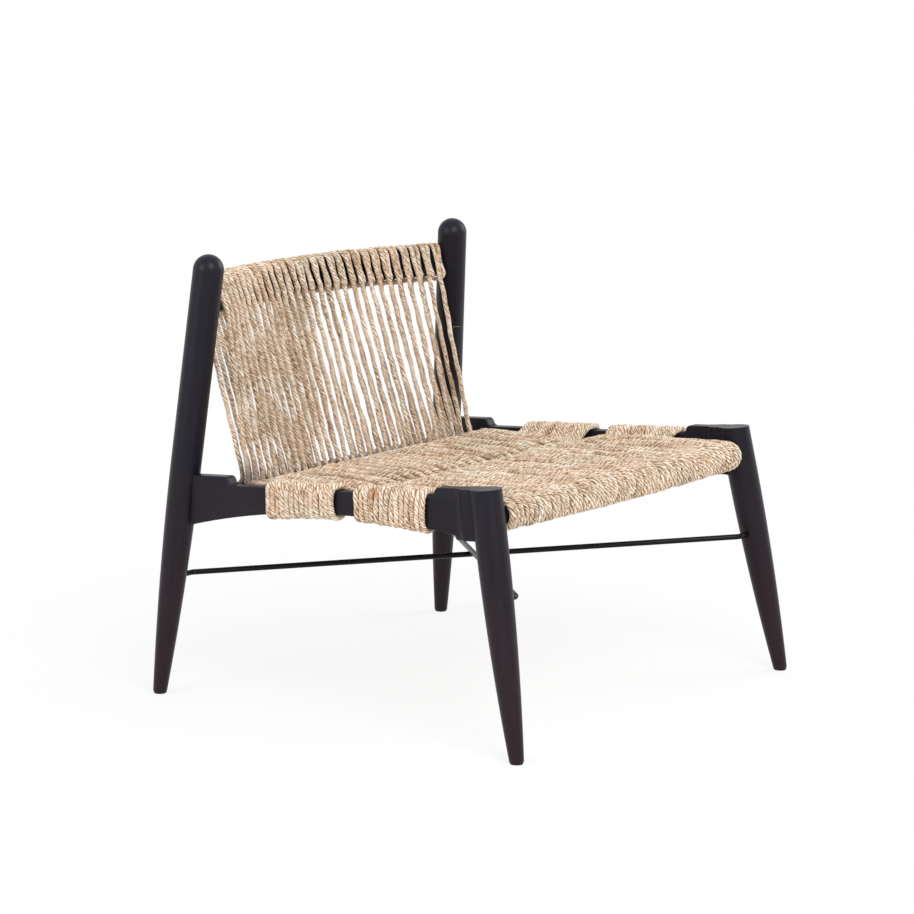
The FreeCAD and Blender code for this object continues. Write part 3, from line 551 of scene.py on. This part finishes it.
def route_line(points):
    """Points read from a NURBS spline with the route as its control points."""
    data = bpy.data.curves.new("route", "CURVE")
    data.dimensions = "3D"
    data.resolution_u = ROUTE_STEPS
    spline = data.splines.new("NURBS")
    spline.points.add(len(points) - 1)
    for control, place in zip(spline.points, points):
        control.co = (*place, 1.0)
    spline.order_u = ROUTE_ORDER
    spline.use_endpoint_u = True
    holder = bpy.data.objects.new("route", data)
    mesh = bpy.data.meshes.new_from_object(holder)
    line = np.empty(len(mesh.vertices) * 3)
    mesh.vertices.foreach_get("co", line)
    bpy.data.objects.remove(holder)
    bpy.data.curves.remove(data)
    bpy.data.meshes.remove(mesh)
    return line.reshape(-1, 3)


def even_steps(line, step):
    """The same line with points at even distances, and its length."""
    gaps = np.linalg.norm(np.diff(line, axis=0), axis=1)
    travelled = np.concatenate([[0.0], np.cumsum(gaps)])
    count = max(2, int(round(travelled[-1] / step)) + 1)
    marks = np.linspace(0.0, travelled[-1], count)
    spaced = np.stack([np.interp(marks, travelled, line[:, axis]) for axis in range(3)], axis=1)
    return spaced, travelled[-1]


def wandering(spaced):
    """The line, straying a little to every side as hand-laid rope does."""
    distance = np.arange(len(spaced)) * ROPE_STEP
    moved = spaced.copy()
    for axis in range(3):
        for wave in WANDER_WAVES:
            moved[:, axis] += WANDER * np.sin(math.tau * (distance / wave + dice.random()))
    return moved


print("a rope has a point every", ROPE_STEP / MM, "mm")

# %% Rope sweep
ROPE_LAY = 22 * MM
LAY_SPREAD = (0.88, 1.12)
UNEVEN_LAY = 0.30
UNEVEN_WAVE = 97 * MM
SWELL = 0.16
SWELL_WAVES = (31 * MM, 83 * MM, 210 * MM, 530 * MM)


def swelling(distance, phases):
    """How much thicker or thinner the hand-laid rope is at a distance along it."""
    pairs = zip(SWELL_WAVES, phases)
    waves = [math.sin(math.tau * distance / wave + phase) for wave, phase in pairs]
    return 1.0 + SWELL * sum(waves) / len(waves)


def curve_mesh(data):
    """The mesh of a curve with its bevel, after which the curve is removed."""
    holder = in_scene("curve", data)
    ready = bpy.context.evaluated_depsgraph_get()
    mesh = bpy.data.meshes.new_from_object(holder.evaluated_get(ready), depsgraph=ready)
    bpy.data.objects.remove(holder)
    bpy.data.curves.remove(data)
    return mesh


def sweep(line, offset, thickness):
    """Sweep the rope outline along one line; UV runs along it in metres from an offset."""
    spaced, length = even_steps(line, ROPE_STEP)
    data = bpy.data.curves.new("rope", "CURVE")
    data.dimensions = "3D"
    data.twist_mode = "MINIMUM"
    data.bevel_mode = "OBJECT"
    data.bevel_object = rope_section
    data.use_fill_caps = True
    spline = data.splines.new("POLY")
    spline.points.add(len(spaced) - 1)
    phases = [dice.uniform(0.0, math.tau) for _ in SWELL_WAVES]
    lay = ROPE_LAY * dice.uniform(*LAY_SPREAD)
    for index, (point, place) in enumerate(zip(spline.points, wandering(spaced))):
        distance = index * ROPE_STEP
        uneven = UNEVEN_LAY * math.sin(math.tau * distance / UNEVEN_WAVE + phases[0])
        turns = distance / lay + uneven
        point.co = (*place, 1.0)
        point.tilt = -math.tau * (turns % 1.0)
        point.radius = thickness * swelling(distance, phases)
    mesh = curve_mesh(data)
    uv = np.empty(len(mesh.loops) * 2)
    mesh.uv_layers[0].data.foreach_get("uv", uv)
    uv[0::2] = uv[0::2] * length + offset
    mesh.uv_layers[0].data.foreach_set("uv", uv)
    return mesh, length


print("the rope turns once in", ROPE_LAY / MM, "mm")

# %% Rope pieces
PATTERN_SPREAD = 90.0
THICKNESS_SPREAD = (0.93, 1.07)
SAME_PLACE = 1e-6
ropes = []


def rope_piece(name, lines, node, thickness):
    """One piece made of ropes, which stands for a CAD node."""
    shape = bmesh.new()
    total = 0.0
    for line in lines:
        offset = total + dice.uniform(0.0, PATTERN_SPREAD)
        mesh, length = sweep(line, offset, thickness * dice.uniform(*THICKNESS_SPREAD))
        shape.from_mesh(mesh)
        bpy.data.meshes.remove(mesh)
        total += length
    bmesh.ops.remove_doubles(shape, verts=shape.verts, dist=SAME_PLACE)
    bmesh.ops.recalc_face_normals(shape, faces=shape.faces)
    mesh = bpy.data.meshes.new(name)
    shape.to_mesh(mesh)
    shape.free()
    mesh.materials.append(straw_rope)
    piece = in_scene(name, mesh)
    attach(piece, "root")
    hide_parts(node)
    ropes.append(piece)
    triangles = sum(len(face.vertices) - 2 for face in mesh.polygons)
    print(f"{name}: {total:.1f} m of rope, {triangles} triangles")


# %% [markdown]
# The back is wound in three lengths. Each unit comes up in front from the rear seat rail,
# goes over the bowed top rail and once more right round it, and comes down behind, to pass
# under the seat rail to the next unit. So the strands lie in two layers, and light shows
# where one layer hides behind the other. The top rail leans and bows, and points are given
# in its own section: how far along, how far in front of its middle and how far up.

# %% Sizes of the rails that the ropes go round
BOW_DEPTH = 75 * MM
BOW_HALF = 301.2 * MM
BOW_MIDDLE_Y = 334.4 * MM
TOP_TILT = math.radians(16.5)
tilt_sine = math.sin(TOP_TILT)
tilt_cosine = math.cos(TOP_TILT)
bow_radius = (BOW_HALF ** 2 + BOW_DEPTH ** 2) / (2 * BOW_DEPTH)


def rail_middle(node):
    """Middle of a rail's box from front to back, and its height."""
    low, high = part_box(node)
    return (low.y + high.y) / 2, (low.z + high.z) / 2


rear_rail_y, rear_rail_z = rail_middle("rear_seat_rail")
front_rail_y, front_rail_z = rail_middle("front_rail")
_, top_rail_z = rail_middle("top_rail")
print(f"rear rail y {rear_rail_y:.4f} z {rear_rail_z:.4f}")
print(f"front rail y {front_rail_y:.4f} z {front_rail_z:.4f}")
print(f"top rail z {top_rail_z:.4f}, bow radius {bow_radius:.4f}")


def on_top_rail(x, forward, up):
    """Point beside the top rail, in its own leaning section at x."""
    swing = math.asin(x / bow_radius)
    sine = math.sin(swing)
    cosine = math.cos(swing)
    middle = Vector((x, BOW_MIDDLE_Y - bow_radius * (1 - cosine), top_rail_z))
    facing = Vector((-sine * tilt_cosine, -cosine * tilt_cosine, tilt_sine))
    leaning = Vector((sine * tilt_sine, cosine * tilt_sine, tilt_cosine))
    return middle + facing * forward + leaning * up


# %% Back strands
STRAND_STRAY = 1.3
STRAND_STRAY_DEEP = 0.8
STRAND_END = 0.06
STRAND_SHARES = (0.35, 0.65)


def strand(start, end, pulled=0.0):
    """A free strand: held straight at its ends, a little off the straight line between."""
    points = [start, start.lerp(end, STRAND_END)]
    for share in STRAND_SHARES:
        sideways = stray(STRAND_STRAY) - pulled * share
        points.append(start.lerp(end, share) + Vector((sideways, stray(STRAND_STRAY_DEEP), 0.0)))
    return [*points, start.lerp(end, 1.0 - STRAND_END), end]


def placed(at, places):
    """A distance in metres, read from a table of the few millimetre values that are known."""
    return float(np.interp(at, *zip(*places))) * MM


print("points in a strand:", 4 + len(STRAND_SHARES))

# %% Back winding
BACK_UNITS = 30
BACK_THICKNESS = 0.78
FACE = 15.8 * MM
CROWN = 27.8 * MM
PAIR = 4.5 * MM
ON_FACE = 3.1 * MM
FOOT_REACH = 15.8 * MM
REAR_FOOT_FALL = 0.7
TOP_STRAY = 1.0
FOOT_STRAY = 1.2
WRAP_STRAY = 0.9
# places of units along the rails: number of the unit, millimetres
TOP_PLACES = ((0, -270), (29, 272))
FOOT_PLACES = ((0, -275), (15, -25), (29, 275))
# what changes from left to right: share of the way, millimetres
CROWDING = ((0.0, 3.5), (0.5, 0.0))
REAR_PULL = ((0.6, 0.0), (1.0, 9.0))
REAR_SHIFT = ((0.3, 4.8), (0.65, -1.7))
REAR_REACH = ((0.2, 0.0), (0.42, 15.8))
REAR_TOP_SHIFT = ((0.42, 3.3), (0.75, 9.3), (1.0, 18.3))


def back_unit(number):
    """Route of one unit of the back's winding, from the front of the seat rail to behind it."""
    share = number / (BACK_UNITS - 1)
    loose = min(1.0, 4 * share * (1 - share))
    top_x = placed(number, TOP_PLACES) + stray(TOP_STRAY) * loose
    foot_x = placed(number, FOOT_PLACES) + stray(FOOT_STRAY)
    pulled = placed(share, REAR_PULL)
    rear_x = foot_x + placed(share, REAR_SHIFT) + pulled + stray(FOOT_STRAY)
    behind = placed(share, REAR_REACH)
    crown = CROWN + placed(share, CROWDING)
    on_face = ON_FACE + stray(WRAP_STRAY)
    first = top_x - PAIR
    second = top_x + PAIR
    front_foot = Vector((foot_x, rear_rail_y - FOOT_REACH, rear_rail_z + 5 * MM))
    front_top = on_top_rail(top_x - 0.5 * MM, FACE + 2.8 * MM, -CROWN)
    rear_top = on_top_rail(top_x - placed(share, REAR_TOP_SHIFT), -FACE + 1 * MM, -CROWN)
    rear_foot_z = rear_rail_z + FOOT_REACH - REAR_FOOT_FALL * behind
    rear_foot = Vector((rear_x, rear_rail_y + behind, rear_foot_z))
    return [
        Vector((foot_x, rear_rail_y - FOOT_REACH, rear_rail_z - FOOT_REACH)),
        *strand(front_foot, front_top),
        on_top_rail(top_x - on_face, FACE + 3.0 * MM, -5 * MM),
        on_top_rail(first, FACE, crown + stray(WRAP_STRAY)),
        on_top_rail(first, -FACE, crown + stray(WRAP_STRAY)),
        on_top_rail(first, -FACE, 0.0),
        on_top_rail(top_x + 1.0 * MM, -FACE, -CROWN),
        on_top_rail(top_x + 9.0 * MM, FACE, -CROWN),
        on_top_rail(top_x + on_face, FACE, -7 * MM),
        on_top_rail(second, FACE, crown + stray(WRAP_STRAY)),
        on_top_rail(second, -FACE, crown + stray(WRAP_STRAY)),
        on_top_rail(second, -FACE, 4 * MM),
        *strand(rear_top, rear_foot, pulled),
        Vector((rear_x, rear_rail_y + FOOT_REACH, rear_rail_z + 4 * MM)),
        Vector((rear_x, rear_rail_y + FOOT_REACH, rear_rail_z - FOOT_REACH)),
    ]


BACK_LENGTHS = ("left", "middle", "right")
units_in_length = BACK_UNITS // len(BACK_LENGTHS)
for place, word in enumerate(BACK_LENGTHS):
    units = range(place * units_in_length, (place + 1) * units_in_length)
    route = [point for number in units for point in back_unit(number)]
    rope_piece(f"back_winding_{word}", [route_line(route)], f"back_cord_{word}", BACK_THICKNESS)

# %% [markdown]
# Two bands of rope cross the seat from side to side. Each lies over the lowered middle of
# a side rail, wraps under it, turns back round a nail on the rail's inner face and crosses
# again beside itself. Between the rails the bands sag a little.

# %% Side rail lines
RAIL_X = 320 * MM
RAIL_HALF = 10 * MM
RAIL_PITCH = math.radians(4.37)
LEG_LINE_Y = -276 * MM
LEG_LINE_Z = 380 * MM
RAIL_STEP = 13 * MM
RAIL_MID_DEPTH = 48 * MM
RAIL_END_DEPTH = 78 * MM
RAIL_MIDDLE_Y = 5.5 * MM
RAIL_SPAN = 283 * MM


def rail_top(y):
    """Height of the rail's lowered top."""
    return LEG_LINE_Z - (y - LEG_LINE_Y) * math.tan(RAIL_PITCH) - RAIL_STEP


def rail_bottom(y):
    """Height of the rail's arched underside."""
    arch = (RAIL_END_DEPTH - RAIL_MID_DEPTH) * ((y - RAIL_MIDDLE_Y) / RAIL_SPAN) ** 2
    return rail_top(y) + RAIL_STEP - RAIL_MID_DEPTH - arch


print(f"side rail from {rail_bottom(0.0):.4f} to {rail_top(0.0):.4f} m at the chair's middle")

# %% Seat bands
BAND_PASSES = 14
BAND_PITCH = 9.2 * MM
BAND_THICKNESS = 0.93
BAND_STRAY = 0.9
ROPE_OFF = 4.7 * MM
HOOK_RISE = 6 * MM
REAR_BAND_Y = 110.6 * MM
FRONT_BAND_Y = -55.6 * MM
# from a rail to the seat's middle: millimetres from the middle, millimetres of rise
SAG = ((306, 1), (292, -9), (277, -19), (250, -22.5), (120, -24))


def band_pass(y):
    """Route of one crossing, from the nail on the left to the nail on the right."""
    top = rail_top(y) + ROPE_OFF
    low = rail_bottom(y) - ROPE_OFF
    hook = rail_bottom(y) + HOOK_RISE
    outer = RAIL_X + RAIL_HALF + ROPE_OFF
    inner = RAIL_X - RAIL_HALF - ROPE_OFF
    half = [(inner, hook), (inner, low), (outer, low)]
    half += [(outer, (low + top) / 2), (outer, top), (RAIL_X, top)]
    half += [(x * MM, top + rise * MM) for x, rise in SAG]
    left = [Vector((-x, y + stray(BAND_STRAY), z)) for x, z in half]
    right = [Vector((x, y + stray(BAND_STRAY), z)) for x, z in reversed(half)]
    return left + right


def band_route(first_y):
    """One unbroken rope that crosses the seat again and again."""
    route = []
    turn = Vector((0.0, 0.0, HOOK_RISE))
    for number in range(BAND_PASSES):
        crossing = band_pass(first_y - number * BAND_PITCH)
        if number % 2:
            crossing.reverse()
        if route:
            route.append(crossing[0] + turn)
        route += crossing
        route.append(crossing[-1] + turn)
    return route[:-1]


for word, first_y in (("rear", REAR_BAND_Y), ("front", FRONT_BAND_Y)):
    line = route_line(band_route(first_y))
    rope_piece(f"seat_band_{word}_rope", [line], f"seat_band_{word}", BAND_THICKNESS)

# %% [markdown]
# The seat itself is a close row of ropes from the rear rail to the front rail. They rise
# over both bands, fall into the valley between them, and wrap right round the front rail
# as a fat roll. Every other rope rides a little higher than its neighbours.

# %% Seat ropes
SEAT_ROPES = 54
SEAT_HALF = 292 * MM
SEAT_THICKNESS = 0.92
ROW_LIFT = 3.4 * MM
LIFT_STRAY = 1.2
ROW_STRAY = 0.8
HEIGHT_STRAY = 0.6
# round the rear rail: millimetres behind its middle, millimetres over it
REAR_HOOK = ((26, 8), (26, -10), (23, -23), (0, -25.7), (-24, -23), (-26.5, 2), (-28, 17.5))
# over the seat: y and z in millimetres
SEAT_TOP = (
    (133, 329.5), (78, 330), (43, 330), (19, 330), (-3, 317), (-33, 333), (-58, 343), (-76, 345),
    (-142, 349.5), (-196, 352), (-251, 355),
)
ROLL_REACH = 18.9 * MM
ROLL_SAG = 4.0 * MM
ROLL_ANGLES = (90, 135, 180, 225, 270, 315, 350)
ROLL_HALF_STEP = 22.5
roll_corner = ROLL_REACH / math.cos(math.radians(ROLL_HALF_STEP))


def seat_rope(number):
    """Route of one front-to-back rope; every other one rides up over its neighbours."""
    x = -SEAT_HALF + 2 * SEAT_HALF * number / (SEAT_ROPES - 1)
    lift = ROW_LIFT * (-1) ** number + stray(LIFT_STRAY)
    route = [Vector((x, rear_rail_y + y * MM, rear_rail_z + z * MM)) for y, z in REAR_HOOK]
    for y, z in SEAT_TOP:
        route.append(Vector((x + stray(ROW_STRAY), y * MM, z * MM + lift + stray(HEIGHT_STRAY))))
    sag = ROLL_SAG * (1 - (x / SEAT_HALF) ** 2)
    for degrees in ROLL_ANGLES:
        angle = math.radians(degrees)
        hang = sag * max(0.0, -math.sin(angle))
        y = front_rail_y + roll_corner * math.cos(angle)
        z = front_rail_z + roll_corner * math.sin(angle) - hang
        route.append(Vector((x + stray(ROW_STRAY), y, z)))
    return route


SEAT_GROUPS = (("left", 0, 14), ("near_middle", 14, 27), ("far_middle", 27, 40), ("right", 40, 54))
for word, first, last in SEAT_GROUPS:
    lines = [route_line(seat_rope(number)) for number in range(first, last)]
    rope_piece(f"seat_ropes_{word}", lines, "seat_web", SEAT_THICKNESS)

# %% [markdown]
# Dried fibre never lies quite flat, and short ends stand off every rope. A few hundred
# thin hairs, each rooted in a rope and curling away from it, soften the ropes' outline.

# %% Stray fibres
HAIRS_PER_PIECE = 70
HAIR_RADIUS = 0.17 * MM
HAIR_POINTS = 4
HAIR_LENGTHS = (5.0, 16.0)
HAIR_ROOT = 0.4 * MM
HAIR_RISE = 0.7
HAIR_DROOP = 0.35
HAIR_LEAN = 0.7
hair_data = bpy.data.curves.new("stray_fibres", "CURVE")
hair_data.dimensions = "3D"
hair_data.bevel_depth = HAIR_RADIUS
hair_data.bevel_resolution = 0
hair_data.use_fill_caps = True
for rope in ropes:
    for _ in range(HAIRS_PER_PIECE):
        root = dice.choice(rope.data.vertices)
        side = Vector([dice.uniform(-1.0, 1.0) for _ in range(3)]).normalized()
        length = dice.uniform(*HAIR_LENGTHS) * MM
        hair = hair_data.splines.new("POLY")
        hair.points.add(HAIR_POINTS - 1)
        for step, point in enumerate(hair.points):
            share = step / (HAIR_POINTS - 1)
            rise = HAIR_RISE * share - HAIR_DROOP * share ** 2
            bend = root.normal * rise + side * HAIR_LEAN * share
            point.co = (*(root.co - root.normal * HAIR_ROOT + bend * length), 1.0)
hair_mesh = curve_mesh(hair_data)
shape = bmesh.new()
shape.from_mesh(hair_mesh)
bmesh.ops.recalc_face_normals(shape, faces=shape.faces)
shape.to_mesh(hair_mesh)
shape.free()
hair_mesh.materials.clear()
hair_mesh.materials.append(straw_rope)
hairs = in_scene("stray_fibres", hair_mesh)
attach(hairs, "root")
print("stray fibres:", HAIRS_PER_PIECE * len(ropes))

# %% [markdown]
# The outline that was swept is a tool and not part of the chair, so it is removed.

# %% Finish
bpy.data.objects.remove(rope_section)
bpy.data.curves.remove(section_data)
